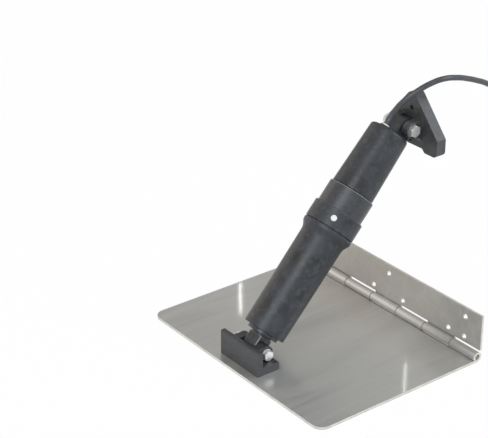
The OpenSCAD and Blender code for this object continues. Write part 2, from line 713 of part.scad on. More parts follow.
module gearbox_screws() color(bright) on_actuator() gear_screw_spots() {
    translate([0, 0, z_carrier + head_room - gear_screw_head])
        cylinder(r = gear_screw_head, h = gear_screw_head);
    translate([0, 0, z_carrier + head_room - over])
        cylinder(r = gear_screw_r, h = z_gear - z_carrier - head_room + over + gear_screw_grip);
}

module motor_can() color(bright) on_actuator()
    turned([[0, z_motor], [motor_d / 2, z_motor], [motor_d / 2, z_bell_end - edge],
            [motor_d / 2 - edge, z_bell_end], [0, z_bell_end]]);

// Solder tags of the motor, under the cable's exit
tag_gap = 1.5;
tag_r = 1;
tag_l = 3;
module motor_end_bell() color(satin_black) on_actuator() {
    translate([0, 0, z_bell_end]) cylinder(r = motor_d / 2 - 1.5, h = end_bell_l);
    for (s = [-1, 1]) translate([s * tag_gap, -cable_off, z_bell_end + end_bell_l - sink])
        cylinder(r = tag_r, h = tag_l + sink);
}

// Two insulated wires from the tags, through the gland, to the cable's end
wire_r = 0.9;
lead_gap = 0.3;
module motor_leads() color("firebrick") on_actuator() for (s = [-1, 1])
    translate([s * tag_gap, -cable_off, z_bell_end + end_bell_l + tag_l])
        cylinder(r = wire_r, h = z_exit - lead_gap - z_bell_end - end_bell_l - tag_l);

module cable_gland() color(satin_black) on_actuator() translate([0, -cable_off, 0])
    turned([[gland_bore_r, z_cap - cap_t], [gland_stem_r, z_cap - cap_t], [gland_stem_r, z_cap],
            [gland_flange_r, z_cap], [gland_flange_r, z_cap + gland_flange_h],
            [gland_bore_r, z_cap + gland_flange_h]]);

module gland_ferrule() color(bright) on_actuator() translate([0, -cable_off, 0])
    tube(gland_bore_r, gland_stem_r, z_cap + gland_flange_h, z_exit);

// Screw that the motor turns
module lead_screw() color(bright) on_actuator() {
    translate([0, 0, z_screw]) cylinder(d = screw_d, h = z_thrust - thrust_t - z_screw + sink);
    translate([0, 0, z_thrust - thrust_t]) cylinder(r = thrust_r, h = thrust_t);
    translate([0, 0, z_thrust - sink]) cylinder(r = journal_r, h = z_join - z_thrust + sink);
}

module screw_coupling() color(motor_grey) on_actuator() difference() {
    translate([0, 0, z_carrier + 1]) cylinder(r = coupling_r, h = z_coupling_top - z_carrier - 1);
    translate([0, 0, z_carrier]) cylinder(r = journal_r + fit_gap / 2, h = z_join - z_carrier);
    translate([0, 0, z_join - over])
        cylinder(r = shaft_r + fit_gap / 2, h = z_coupling_top - z_join + 2 * over);
}

module gearbox_output_shaft() color(bright) on_actuator()
    translate([0, 0, z_join]) cylinder(r = shaft_r, h = z_gear + shaft_in - z_join);

// Upper bracket
module up_ear(s) translate([s * (up_ear_gap + up_ear_t) / 2, 0, 0]) {
    at_up_pivot() x_rod(up_ear_r, -up_ear_t / 2, up_ear_t / 2);
    translate([-up_ear_t / 2, up_pivot_y, up_pivot_z - up_ear_r])
        cube([up_ear_t, up_pivot_l + over, 2 * up_ear_r]);
    at_up_pivot() along_x(up_ear_t) polygon(concat(
        arc([up_pivot_l - fillet_r, -up_ear_r - fillet_r], fillet_r, 90, 0),
        [[up_pivot_l + over, -up_ear_r - fillet_r], [up_pivot_l + over, -up_ear_r + over],
         [up_pivot_l - fillet_r, -up_ear_r + over]]));
}

module upper_bracket() color(satin_black) difference() {
    union() {
        translate([0, up_base_y + up_base_t, up_pivot_z]) rotate([90, 0, 0])
            linear_extrude(height = up_base_t) polygon(up_outline());
        for (s = [-1, 1]) up_ear(s);
    }
    at_up_pivot() {
        x_rod(up_bolt_d / 2 + fit_gap, -up_ear_out - over, up_ear_out + over);
        for (s = [0, 1]) mirror([s, 0, 0]) x_rod(recess_r, up_ear_out - up_recess, up_ear_out + over);
    }
    for (s = [-0.5, 0.5])
        translate([0, up_base_y - over, up_pivot_z + s * up_hole_gap])
            rotate([-90, 0, 0]) cylinder(d = up_hole_d, h = up_base_t + 2 * over);
}

// Seat of the upper bolt's head or nut, outside its washer
up_seat = up_ear_out - up_recess + washer_t;
up_nut_h = 8.4;
up_head_h = 5.4;
module upper_pivot_bolt() color(bright) at_up_pivot() {
    x_rod(up_bolt_d / 2, -up_seat - up_nut_h - bolt_end, up_seat);
    x_hex(up_hex, up_seat, up_seat + up_head_h);
}

module upper_pivot_washers() color(bright) at_up_pivot()
    washer_pair(up_bolt_d, recess_r - 4 * fit_gap, up_ear_out - up_recess);

module upper_pivot_nut() color(bright) at_up_pivot() difference() {
    x_hex(up_hex, -up_seat - up_nut_h, -up_seat);
    x_rod(up_bolt_d / 2 + fit_gap / 2, -up_seat - up_nut_h - over, -up_seat + over);
}

// Cable: one tube swept along its route
module swept_tube(path, r, sides) {
    n = len(path);
    rings = [for (i = [0 : n - 1])
        let (t = unit(path[min(i + 1, n - 1)] - path[max(i - 1, 0)]),
             u = unit(cross(route_ref, t)),
             v = cross(t, u))
        [for (k = [0 : sides - 1]) path[i] + r * (cos(360 * k / sides) * u + sin(360 * k / sides) * v)]];
    points = [for (ring = rings) each ring];
    walls = [for (i = [0 : n - 2], k = [0 : sides - 1])
        [i * sides + k, (i + 1) * sides + k, (i + 1) * sides + (k + 1) % sides, i * sides + (k + 1) % sides]];
    ends = [[for (k = [0 : sides - 1]) k], [for (k = [sides - 1 : -1 : 0]) (n - 1) * sides + k]];
    polyhedron(points, concat(walls, ends));
}

module cable() color(rubber) swept_tube(route_curve(), cable_d / 2, cable_sides);

module at_coil() translate([coil_at[0], coil_at[1], coil_z]) children();

module cable_coil() color(rubber) at_coil() tube(coil_r - coil_w / 2, coil_r + coil_w / 2, 0, coil_h);

module cable_ties() color(white) at_coil() for (a = tie_angles) rotate([0, 0, a]) difference() {
    translate([coil_r - coil_w / 2 - tie_t, -tie_w / 2, -tie_t])
        cube([coil_w + 2 * tie_t, tie_w, coil_h + 2 * tie_t]);
    tube(coil_r - coil_w / 2, coil_r + coil_w / 2, 0, coil_h);
}

// Two-way plug that lies on the coil, along the direction of its turns
module at_plug() at_coil() rotate([0, 0, plug_angle]) translate([coil_r, 0, coil_h]) children();

module cable_plug() color(satin_black) at_plug() difference() {
    translate([-plug_size[0] / 2, -plug_size[1] / 2, 0]) cube(plug_size);
    for (s = [-0.5, 0.5]) translate([s * pin_gap, plug_size[1] / 2 - plug_pin_l, plug_size[2] / 2])
        rotate([-90, 0, 0]) cylinder(r = plug_pin_r + 1, h = plug_pin_l + over);
}

module plug_pins() color(bronze) at_plug() for (s = [-0.5, 0.5])
    translate([s * pin_gap, plug_size[1] / 2 - plug_pin_l, plug_size[2] / 2])
        rotate([-90, 0, 0]) cylinder(r = plug_pin_r, h = plug_pin_l - 1);

transom_flange();
hinge_pin();
tab_plate();
lower_bracket();
bracket_screws();
lower_pivot_bolt();
lower_pivot_washers();
lower_pivot_nut();
ram_end();
ram_eye_bush();
ram_tube();
ram_end_pin();
drive_nut();
ram_guide_ring();
ram_snap_ring();
lower_tube();
rod_gland();
rod_wiper();
rod_o_ring();
bearing_carrier();
screw_bush();
thrust_washer();
coupling_collar();
lock_ring();
lock_plug();
motor_housing();
spigot_o_ring();
upper_eye_bush();
gearbox_case();
gearbox_screws();
motor_can();
motor_end_bell();
motor_leads();
cable_gland();
gland_ferrule();
lead_screw();
screw_coupling();
gearbox_output_shaft();
upper_bracket();
upper_pivot_bolt();
upper_pivot_washers();
upper_pivot_nut();
cable();
cable_coil();
cable_ties();
cable_plug();
plug_pins();
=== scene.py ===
"""Boat trim tab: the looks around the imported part, with its camera, light and floor."""

import logging
import math
from dataclasses import dataclass, field
from enum import Enum
from typing import Callable, Iterable, Sequence

import bmesh
import bpy
from mathutils import Matrix, Vector


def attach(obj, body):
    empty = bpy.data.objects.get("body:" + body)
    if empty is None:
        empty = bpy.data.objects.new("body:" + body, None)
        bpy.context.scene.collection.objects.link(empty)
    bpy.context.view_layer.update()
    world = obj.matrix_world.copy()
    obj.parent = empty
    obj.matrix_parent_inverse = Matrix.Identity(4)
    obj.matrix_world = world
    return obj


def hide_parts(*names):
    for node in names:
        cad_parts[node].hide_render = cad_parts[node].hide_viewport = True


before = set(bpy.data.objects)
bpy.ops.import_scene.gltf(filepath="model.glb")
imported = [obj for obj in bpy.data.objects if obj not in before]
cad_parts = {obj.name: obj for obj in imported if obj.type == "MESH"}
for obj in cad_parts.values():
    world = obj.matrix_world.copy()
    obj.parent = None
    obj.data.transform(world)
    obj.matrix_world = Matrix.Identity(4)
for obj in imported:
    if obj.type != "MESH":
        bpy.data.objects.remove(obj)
log = logging.getLogger("trim_tab")

MM = 0.001
MERGE = 1e-6
Colour = tuple[float, float, float]
Point = tuple[float, float, float]
Shape = bmesh.types.BMesh
Socket = bpy.types.NodeSocket
Tree = bpy.types.NodeTree


class Pattern(Enum):
    """How a finish varies over its surface."""

    ROLLED = "rolled sheet with faint clouds and pits"
    TURNED = "machined metal with fine tool lines"
    MOULDED = "moulded plastic with a hazy skin"
    PLAIN = "soft skin with a fine grain"


class NodeBench:
    """A new material and the few node recipes that the finishes share."""

    def __init__(self, name: str) -> None:
        """Starts a material.

        Args:
            name: The material's name.
        """
        self.material = bpy.data.materials.new(name)
        self.material.use_nodes = True
        self.tree = self.material.node_tree
        self.shader = self.tree.nodes["Principled BSDF"]
        self.place = self.tree.nodes.new("ShaderNodeTexCoord").outputs["Object"]

    def link(self, source: Socket, target: Socket) -> None:
        """Joins two sockets.

        Args:
            source: Socket that gives the value.
            target: Socket that takes it.
        """
        self.tree.links.new(source, target)

    def noise(self, scale: float, detail: float = 3.0, stretch: Point = (1, 1, 1),
              twist: float = 0.0) -> Socket:
        """Adds a noise in object space.

        Args:
            scale: Patches per metre.
            detail: Octaves.
            stretch: Factor on each axis before the noise is read.
            twist: Distortion.

        Returns:
            The noise's value socket, from 0 to 1.
        """
        mapping = self.tree.nodes.new("ShaderNodeMapping")
        mapping.inputs["Scale"].default_value = stretch
        self.link(self.place, mapping.inputs["Vector"])
        node = self.tree.nodes.new("ShaderNodeTexNoise")
        node.inputs["Scale"].default_value = scale
        node.inputs["Detail"].default_value = detail
        node.inputs["Distortion"].default_value = twist
        self.link(mapping.outputs["Vector"], node.inputs["Vector"])
        return node.outputs["Fac"]

    def spread(self, value: Socket, start: float, end: float, low: float,
               high: float) -> Socket:
        """Maps a value from one range to another, with no overshoot.

        Args:
            value: The socket to read.
            start: Value that gives low.
            end: Value that gives high.
            low: First result.
            high: Last result.

        Returns:
            The mapped value's socket.
        """
        node = self.tree.nodes.new("ShaderNodeMapRange")
        self.link(value, node.inputs["Value"])
        for key, number in (("From Min", start), ("From Max", end), ("To Min", low), ("To Max", high)):
            node.inputs[key].default_value = number
        return node.outputs["Result"]

    def tint(self, value: Socket, first: Colour | Socket,
             second: Colour) -> Socket:
        """Mixes two colours by a value.

        Args:
            value: The mixing socket.
            first: Colour, or a colour socket, at 0.
            second: Colour at 1.

        Returns:
            The mixed colour's socket.
        """
        node = self.tree.nodes.new("ShaderNodeMix")
        node.data_type = "RGBA"
        self.link(value, node.inputs["Factor"])
        if isinstance(first, tuple):
            node.inputs["A"].default_value = (*first, 1)
        else:
            self.link(first, node.inputs["A"])
        node.inputs["B"].default_value = (*second, 1)
        return node.outputs["Result"]

    def relief(self, height: Socket, strength: float, depth: float) -> None:
        """Adds a bump to the shader.

        Args:
            height: The height socket.
            strength: How strongly the bump turns the normal.
            depth: Depth of the relief in metres.
        """
        node = self.tree.nodes.new("ShaderNodeBump")
        node.inputs["Strength"].default_value = strength
        node.inputs["Distance"].default_value = depth
        self.link(height, node.inputs["Height"])
        self.link(node.outputs["Normal"], self.shader.inputs["Normal"])


@dataclass(frozen=True)
class Finish:
    """One surface finish: its colours, its gloss and the way it varies."""

    name: str
    dark: Colour
    light: Colour
    pattern: Pattern
    rough: tuple[float, float] = (0.4, 0.55)
    metallic: float = 0.0
    specular: float = 0.5
    coat: float = 0.0
    coat_rough: float = 0.1
    cloud: float = 40.0
    grain: float = 900.0
    relief: float = 0.05
    fleck: Colour = (0.1, 0.1, 0.1)
    fleck_share: float = 0.0
    stretch: Point = (1, 1, 1)
    drawn: Point = (1, 1, 1)
    cloud_range: tuple[float, float] = (0.3, 0.7)
    wear_range: tuple[float, float] = (0.25, 0.75)
    grain_depth: float = 0.0004

    def material(self) -> bpy.types.Material:
        """Makes the material, or finds it where it was made before.

        Returns:
            The finish as a Blender material.
        """
        done = bpy.data.materials.get(self.name)
        if done:
            return done
        bench = NodeBench(self.name)
        sockets = bench.shader.inputs
        sockets["Metallic"].default_value = self.metallic
        sockets["Specular IOR Level"].default_value = self.specular
        sockets["Coat Weight"].default_value = self.coat
        sockets["Coat Roughness"].default_value = self.coat_rough
        twist = 1.2 if self.pattern in (Pattern.ROLLED, Pattern.MOULDED) else 0.0
        clouds = bench.noise(self.cloud, 4.0, self.drawn, twist)
        fine = bench.noise(self.grain, 2.0, self.stretch)
        colour = bench.tint(bench.spread(clouds, *self.cloud_range, 0, 1), self.dark, self.light)
        if self.fleck_share:
            pits = bench.noise(self.grain * 0.45, 1.0)
            colour = bench.tint(bench.spread(pits, 0.68, 0.76, 0, self.fleck_share), colour, self.fleck)
        if self.pattern is Pattern.TURNED:
            colour = bench.tint(bench.spread(fine, 0.35, 0.75, 0, 0.35), colour, self.dark)
        if self.pattern is Pattern.MOULDED:
            dust = bench.noise(self.cloud * 6, 5.0, twist=0.6)
            colour = bench.tint(bench.spread(dust, 0.5, 0.75, 0, 0.55), colour, self.fleck)
        bench.link(colour, sockets["Base Color"])
        wear = clouds if self.pattern in (Pattern.MOULDED, Pattern.ROLLED) else fine
        bench.link(bench.spread(wear, *self.wear_range, *self.rough), sockets["Roughness"])
        bench.relief(fine, self.relief, self.grain_depth)
        return bench.material


class Palette:
    """The finishes of the trim tab's pieces.

    No roughness goes below 0.28: under about 0.27 a denoised render follows what the surface mirrors, and streaks.
    """

    SHEET = Finish("sheet_steel", (0.50, 0.49, 0.463), (0.57, 0.56, 0.533), Pattern.ROLLED, (0.28, 0.40), 0.65,
                   coat=0.2, coat_rough=0.05, cloud=26, grain=1300, relief=0.012, fleck=(0.3, 0.29, 0.26),
                   fleck_share=0.3, drawn=(2.2, 0.2, 2.2))
    BARREL = Finish("rolled_barrel", (0.50, 0.49, 0.46), (0.58, 0.57, 0.54), Pattern.ROLLED, (0.28, 0.34), 0.7,
                    cloud=20, grain=1300, relief=0.004)
    # Bright colour of the cut faces: partly bare cut metal, partly a painted highlight.
    CUT_EDGE_AND_HIGHLIGHT = Finish("cut_edge_and_painted_highlight", (0.62, 0.60, 0.53), (0.80, 0.78, 0.71), Pattern.TURNED, (0.28, 0.40), 0.6,
                      cloud=90, grain=700, relief=0.05, stretch=(0.3, 0.3, 4))
    FASTENER = Finish("bright_fastener", (0.62, 0.61, 0.585), (0.70, 0.69, 0.665), Pattern.PLAIN, (0.28, 0.34), 0.6,
                      cloud=160, grain=1500, relief=0.003)
    THREAD = Finish("rolled_thread", (0.36, 0.35, 0.33), (0.60, 0.59, 0.56), Pattern.TURNED, (0.28, 0.38), 1.0,
                    cloud=300, grain=1800, relief=0.06)
    TUBE = Finish("housing_plastic", (0.020, 0.020, 0.020), (0.046, 0.050, 0.057), Pattern.MOULDED, (0.30, 0.46),
                  cloud=30, grain=1500, relief=0.03, specular=0.35, fleck=(0.078, 0.087, 0.102))
    COLLAR = Finish("collar_plastic", (0.028, 0.028, 0.029), (0.056, 0.060, 0.067), Pattern.MOULDED, (0.28, 0.42),
                    cloud=44, grain=1500, relief=0.03, specular=0.44, fleck=(0.078, 0.086, 0.098))
    BRACKET = Finish("bracket_plastic", (0.033, 0.034, 0.035), (0.054, 0.056, 0.059), Pattern.MOULDED, (0.32, 0.46),
                     cloud=50, grain=1300, relief=0.04, specular=0.4, fleck=(0.069, 0.073, 0.079))
    MOUNT = Finish("mount_plastic", (0.040, 0.0395, 0.039), (0.074, 0.074, 0.075), Pattern.MOULDED, (0.28, 0.42),
                   cloud=50, grain=1300, relief=0.04, specular=0.36, fleck=(0.095, 0.098, 0.103))
    # Lighter colour for the rounds of plastic edges: partly wear, partly a painted highlight.
    WORN_AND_HIGHLIGHT = Finish("worn_edge_and_painted_highlight", (0.15, 0.154, 0.16), (0.26, 0.265, 0.275), Pattern.MOULDED, (0.28, 0.38),
                  cloud=70, grain=1300, relief=0.03, specular=0.5, fleck=(0.22, 0.225, 0.235))
    JACKET = Finish("cable_skin", (0.040, 0.044, 0.051), (0.057, 0.061, 0.069), Pattern.PLAIN, (0.28, 0.38),
                    cloud=90, grain=1700, relief=0.02)
    RUBBER = Finish("seal_rubber", (0.014, 0.014, 0.015), (0.026, 0.026, 0.027), Pattern.PLAIN, (0.6, 0.75),
                    cloud=120, grain=1400, relief=0.08, specular=0.3)
    NYLON = Finish("white_nylon", (0.72, 0.72, 0.69), (0.84, 0.84, 0.81), Pattern.PLAIN, (0.36, 0.5), cloud=150,
                   grain=1500, relief=0.04)
    BRONZE = Finish("bearing_bronze", (0.36, 0.22, 0.09), (0.55, 0.37, 0.17), Pattern.TURNED, (0.28, 0.42), 1.0,
                    cloud=120, grain=1300, relief=0.06)
    ALLOY = Finish("cast_alloy", (0.33, 0.34, 0.35), (0.47, 0.48, 0.49), Pattern.PLAIN, (0.42, 0.6), 1.0, cloud=80,
                   grain=900, relief=0.12)
    MOTOR = Finish("plated_can", (0.45, 0.45, 0.42), (0.62, 0.62, 0.58), Pattern.TURNED, (0.28, 0.4), 1.0, cloud=60,
                   grain=1200, relief=0.05, stretch=(1, 1, 4))
    WIRE = Finish("wire_skin", (0.28, 0.025, 0.02), (0.42, 0.05, 0.04), Pattern.PLAIN, (0.35, 0.5), cloud=200,
                  grain=1200, relief=0.03)


@dataclass(frozen=True)
class Layout:
    """Places that the pieces share, in millimetres, in the part's own frame."""

    floor_z: float = -32.6
    pin_y: float = -5.925
    pin_z: float = -26.675
    barrel_r: float = 5.925
    half_span: float = 152.4
    low_pivot: Point = (0.0, -202.925, -13.1)
    up_pivot: Point = (0.0, 7.24821, 198.50156)
    slope: float = 47.5

    def actuator(self) -> Matrix:
        """Turns the actuator's own frame, axis along Z from the lower pivot, into the part's frame.

        Returns:
            The matrix that does it.
        """
        return Matrix.Translation(Vector(self.low_pivot) * MM) @ Matrix.Rotation(math.radians(self.slope - 90), 4, "X")

    def from_pin(self, spot: Vector) -> float:
        """Measures how far a spot lies from the hinge pin's axis.

        Args:
            spot: Place in millimetres.

        Returns:
            The distance in millimetres.
        """
        return math.hypot(spot.y - self.pin_y, spot.z - self.pin_z)

    def across(self, pivot: Point) -> Matrix:
        """Turns a frame whose Z runs along the hinge into the part's frame.

        Args:
            pivot: Origin in millimetres.

        Returns:
            The matrix that sets Z along +X with a hexagon's corners up and down.
        """
        turn = Matrix.Rotation(math.pi / 2, 4, "Y") @ Matrix.Rotation(math.pi / 2, 4, "Z")
        return Matrix.Translation(Vector(pivot) * MM) @ turn


PLACE = Layout()


@dataclass(frozen=True)
class Corner:
    """A corner of a turned profile: radius, height and the round on its edge, in millimetres."""

    r: float
    z: float
    soft: float = 0.0


@dataclass
class Piece:
    """One piece of the model, shaped in a bmesh and then handed over as an object."""

    name: str
    body: str
    slot: str
    nodes: tuple[str, ...] = ()
    bm: Shape = field(default_factory=bmesh.new)

    def add(self, shape: Shape, matrix: Matrix | None = None, part: int | None = 0) -> "Piece":
        """Adds a shape.

        Args:
            shape: The shape, which is used up.
            matrix: Its place.
            part: Number of the finish that its faces take, or None where they have theirs.

        Returns:
            The piece itself.
        """
        if matrix:
            bmesh.ops.transform(shape, matrix=matrix, verts=shape.verts)
        for face in shape.faces if part is not None else ():
            face.material_index = part
        carrier = bpy.data.meshes.new("carrier")
        shape.to_mesh(carrier)
        shape.free()
        self.bm.from_mesh(carrier)
        bpy.data.meshes.remove(carrier)
        return self

    def close(self, *finishes: Finish, crease: float = 50.0) -> bpy.types.Object:
        """Makes the object, gives it its finishes and its body.

        Args:
            finishes: Finishes in the order of the face numbers.
            crease: Angle in degrees above which an edge stays sharp.

        Returns:
            The finished object.
        """
        for edge in self.bm.edges:
            edge.smooth = len(edge.link_faces) == 2 and edge.calc_face_angle(math.pi) < math.radians(crease)
        for face in self.bm.faces:
            face.smooth = True
        mesh = bpy.data.meshes.new(self.name)
        self.bm.to_mesh(mesh)
        self.bm.free()
        for finish in finishes:
            mesh.materials.append(finish.material())
        obj = bpy.data.objects.new(self.name, mesh)
        bpy.context.scene.collection.objects.link(obj)
        flat = obj.modifiers.new("flat_faces", "WEIGHTED_NORMAL")
        flat.keep_sharp = True
        flat.weight = 80
        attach(obj, self.body)
        if self.nodes:
            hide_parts(*self.nodes)
        log.info("%s: %d faces", self.name, len(mesh.polygons))
        return obj


def soften(bm: Shape, edges: Iterable[bmesh.types.BMEdge], width: float, steps: int = 3,
           part: int | None = None) -> None:
    """Rounds edges.

    Args:
        bm: The shape.
        edges: Edges to round.
        width: Width of the round in millimetres.
        steps: Faces across the round.
        part: Number of the finish that the round takes, where it has its own.
    """
    chosen = list(edges)
    if chosen:
        made = bmesh.ops.bevel(bm, geom=chosen, offset=width * MM, offset_type="OFFSET", segments=steps, profile=0.5,
                               affect="EDGES", clamp_overlap=True, material=-1)
        for face in made["faces"] if part is not None else ():
            face.material_index = part


def sharp_edges(bm: Shape, angle: float = 40.0,
                keep: Callable[[Vector], bool] | None = None) -> list[bmesh.types.BMEdge]:
    """Finds the edges between faces that meet at an angle.

    Args:
        bm: The shape.
        angle: Smallest angle in degrees.
        keep: Says by an edge's middle, in millimetres, whether it counts.

    Returns:
        The edges.
    """
    found = []
    for edge in bm.edges:
        if len(edge.link_faces) == 2 and edge.calc_face_angle(0.0) > math.radians(angle):
            middle = (edge.verts[0].co + edge.verts[1].co) / (2 * MM)
            if keep is None or keep(middle):
                found.append(edge)
    return found


def from_solid(node: str) -> Shape:
    """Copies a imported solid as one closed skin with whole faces.

    Args:
        node: The solid's name.

    Returns:
        The copy.
    """
    bm = bmesh.new()
    bm.from_mesh(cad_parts[node].data)
    bmesh.ops.remove_doubles(bm, verts=bm.verts, dist=0.002 * MM)
    bmesh.ops.dissolve_degenerate(bm, edges=bm.edges, dist=0.002 * MM)
    bmesh.ops.dissolve_limit(bm, angle_limit=math.radians(0.6), verts=bm.verts, edges=bm.edges)
    return bm


def lathe(corners: Sequence[Corner], steps: int = 96) -> Shape:
    """Turns a profile round Z and rounds the edges that its corners leave.

    Args:
        corners: The profile. It is closed to a ring unless it starts and ends on the axis.
        steps: Faces round the axis.

    Returns:
        The turned shape.
    """
    bm = bmesh.new()
    verts = [bm.verts.new((c.r * MM, 0, c.z * MM)) for c in corners]
    pairs = list(zip(verts, verts[1:]))
    if corners[0].r > 0 or corners[-1].r > 0:
        pairs.append((verts[-1], verts[0]))
    for pair in pairs:
        bm.edges.new(pair)
    bmesh.ops.spin(bm, geom=bm.verts[:] + bm.edges[:], cent=(0, 0, 0), axis=(0, 0, 1), angle=2 * math.pi,
                   steps=steps, use_merge=True)
    bmesh.ops.remove_doubles(bm, verts=bm.verts, dist=0.001 * MM)
    bmesh.ops.recalc_face_normals(bm, faces=bm.faces)
    for c in corners:
        if c.soft:
            ring = {v for v in bm.verts if abs(math.hypot(v.co.x, v.co.y) - c.r * MM) < MERGE
                    and abs(v.co.z - c.z * MM) < MERGE}
            soften(bm, [e for e in bm.edges if ring.issuperset(e.verts)], c.soft)
    return bm


def block(low: Point, high: Point, soft: float = 0.0, steps: int = 3) -> Shape:
    """Makes a box with rounded edges.

    Args:
        low: Lowest corner in millimetres.
        high: Highest corner in millimetres.
        soft: Round on its edges.
        steps: Faces across the round.

    Returns:
        The box.
    """
    bm = bmesh.new()
    bmesh.ops.create_cube(bm, size=1.0)
    size = [(b - a) * MM for a, b in zip(low, high)]
    middle = Vector([(a + b) * MM / 2 for a, b in zip(low, high)])
    bmesh.ops.scale(bm, vec=size, verts=bm.verts)
    bmesh.ops.translate(bm, vec=middle, verts=bm.verts)
    if soft:
        soften(bm, bm.edges, soft, steps)
    return bm


def eye_block(outline: Sequence[tuple[float, float]], bore: float, half_w: float, soft: float) -> Shape:
    """Makes an eye: an outline round the pivot, as thick as the eye is wide, with a bore across it.

    The rounds of its outer edges take finish 1.

    Args:
        outline: Corners of the outline, y then z, in millimetres from the pivot.
        bore: Radius of the bore.
        half_w: Half the eye's width along X.
        soft: Round on the outer edges.

    Returns:
        The eye.
    """
    bm = bmesh.new()
    rims = []
    for x in (-half_w, half_w):
        outer = [bm.verts.new((x * MM, y * MM, z * MM)) for y, z in outline]
        turns = [math.atan2(z, y) for y, z in outline]
        inner = [bm.verts.new((x * MM, bore * math.cos(a) * MM, bore * math.sin(a) * MM)) for a in turns]
        rims.append((outer, inner))
    (out_a, in_a), (out_b, in_b) = rims
    for k in range(len(outline)):
        m = (k + 1) % len(outline)
        for ring in ((out_a, in_a, in_a, out_a), (in_b, out_b, out_b, in_b), (out_b, out_a, out_a, out_b),
                     (in_a, in_b, in_b, in_a)):
            bm.faces.new((ring[0][k], ring[1][k], ring[2][m], ring[3][m]))
    bmesh.ops.recalc_face_normals(bm, faces=bm.faces)
    shell = set(out_a + out_b)
    soften(bm, [e for e in sharp_edges(bm, 30) if shell.issuperset(e.verts)], soft, 4, 1)
    return bm


def hexagon(flats: float, z0: float, z1: float, crown: float = 0.9) -> Shape:
    """Makes a hexagon head with its outer corners turned off.

    Args:
        flats: Width across flats in millimetres.
        z0: Seat.
        z1: Outer face.
        crown: How far the corners of the outer face are turned off.

    Returns:
        The head.
    """
    bm = bmesh.new()
    bmesh.ops.create_cone(bm, cap_ends=True, cap_tris=False, segments=6, radius1=flats / math.sqrt(3) * MM,
                          radius2=flats / math.sqrt(3) * MM, depth=abs(z1 - z0) * MM)
    bmesh.ops.translate(bm, vec=(0, 0, (z0 + z1) / 2 * MM), verts=bm.verts)
    tips = [v for v in bm.verts if abs(v.co.z - z1 * MM) < 1e-7]
    bmesh.ops.bevel(bm, geom=tips, offset=crown * MM, offset_type="OFFSET", segments=1, profile=0.5,
                    affect="VERTICES", clamp_overlap=True, material=-1)
    soften(bm, sharp_edges(bm, 20), 0.22, 2)
    return bm


def threaded(radius: float, pitch: float, z0: float, z1: float) -> list[Corner]:
    """Gives the profile of a thread, from z0 to z1.

    Args:
        radius: Outer radius in millimetres.
        pitch: Distance between crests.
        z0: Start.
        z1: End.

    Returns:
        Corners along the thread.
    """
    count = int(abs(z1 - z0) / pitch)
    step = (z1 - z0) / count
    rows = []
    for k in range(count):
        rows += [Corner(radius - 0.5 * pitch, z0 + step * k), Corner(radius, z0 + step * (k + 0.5))]
    return rows


